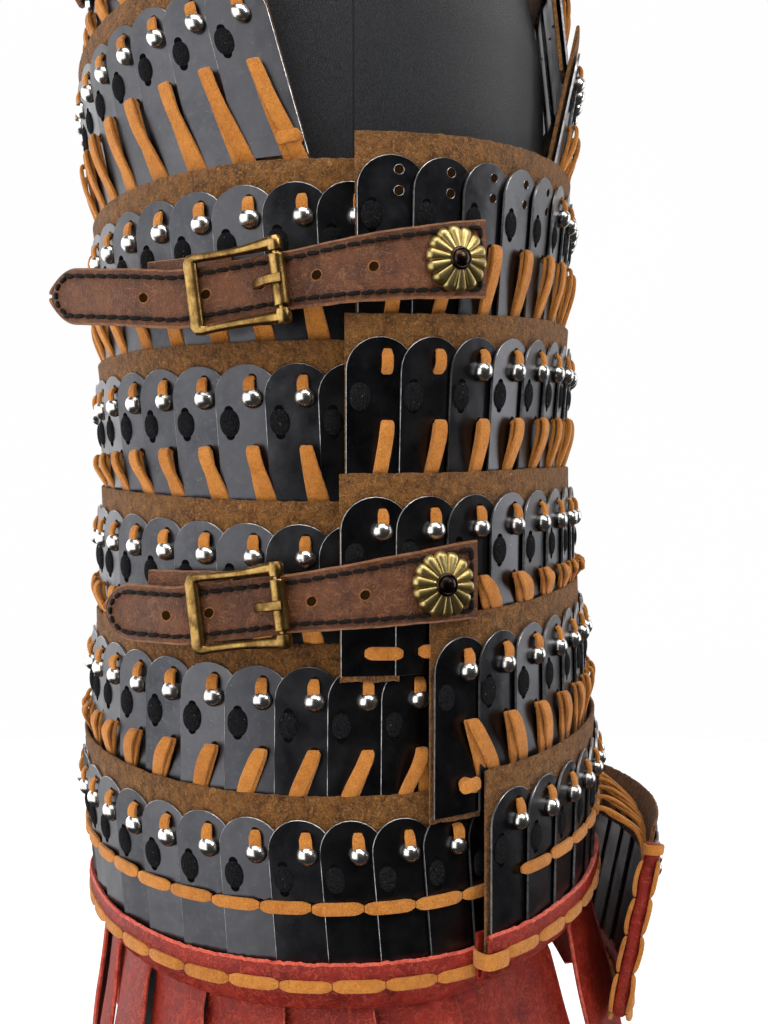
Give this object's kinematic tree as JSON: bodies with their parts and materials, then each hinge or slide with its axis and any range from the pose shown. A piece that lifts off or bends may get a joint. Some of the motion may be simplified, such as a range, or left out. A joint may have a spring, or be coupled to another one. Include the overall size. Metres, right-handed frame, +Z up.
{
  "type": "lamellar armour cuirass on a limbless dress form",
  "caption": "Side-buckled lamellar cuirass of blackened steel plates laced to brown suede bands, with a red leather hem and apron, worn by a limbless dress form.",
  "frame": {"origin": "middle of the flat underside of the dress form's base", "axes": "+Z up; the wearer faces -Y; +X is the wearer's left"},
  "size_m": [0.4158, 0.3364, 0.7993],
  "materials": {
    "blackened_steel": "blackened and oiled, satin",
    "brown_suede": "napped suede",
    "red_leather": "satin grain",
    "strap_leather": "waxed, slightly worn",
    "brass": "aged satin brass",
    "form_cloth": "dark twill",
    "form_lacquer": "black lacquer",
    "lace_leather": "soft tan lacing thong",
    "rivet_steel": "polished domes",
    "tie_suede": "black suede"
  },
  "bodies": {
    "root": {"form_torso": "form_cloth", "form_neck_cap": "form_lacquer", "form_base": "form_lacquer", "back_plates_1": "blackened_steel", "back_suede_1": "brown_suede", "back_plates_2": "blackened_steel", "back_suede_2": "brown_suede", "back_plates_3": "blackened_steel", "back_suede_3": "brown_suede", "back_plates_4": "blackened_steel", "back_suede_4": "brown_suede", "back_plates_5": "blackened_steel", "back_suede_5": "brown_suede", "back_plates_6": "blackened_steel", "back_suede_6": "brown_suede", "back_plates_7": "blackened_steel", "back_suede_7": "brown_suede", "back_hem_binding": "red_leather", "back_tongues": "red_leather", "front_plates_1": "blackened_steel", "front_suede_1": "brown_suede", "front_plates_2": "blackened_steel", "front_suede_2": "brown_suede", "front_plates_3": "blackened_steel", "front_suede_3": "brown_suede", "front_plates_4": "blackened_steel", "front_suede_4": "brown_suede", "front_plates_5": "blackened_steel", "front_suede_5": "brown_suede", "front_plates_6": "blackened_steel", "front_suede_6": "brown_suede", "front_plates_7": "blackened_steel", "front_suede_7": "brown_suede", "front_hem_binding": "red_leather", "front_tongues": "red_leather", "apron_plates": "blackened_steel", "apron_suede": "brown_suede", "apron_binding": "red_leather", "upper_right_strap": "strap_leather", "upper_right_buckle": "brass", "upper_right_tongue": "brass", "upper_right_tab": "strap_leather", "upper_right_rosette": "brass", "lower_right_strap": "strap_leather", "lower_right_buckle": "brass", "lower_right_tongue": "brass", "lower_right_tab": "strap_leather", "lower_right_rosette": "brass", "shoulder_strap_right": "strap_leather", "upper_left_strap": "strap_leather", "upper_left_buckle": "brass", "upper_left_tongue": "brass", "upper_left_tab": "strap_leather", "upper_left_rosette": "brass", "lower_left_strap": "strap_leather", "lower_left_buckle": "brass", "lower_left_tongue": "brass", "lower_left_tab": "strap_leather", "lower_left_rosette": "brass", "shoulder_strap_left": "strap_leather"}
  },
  "joints": []
}
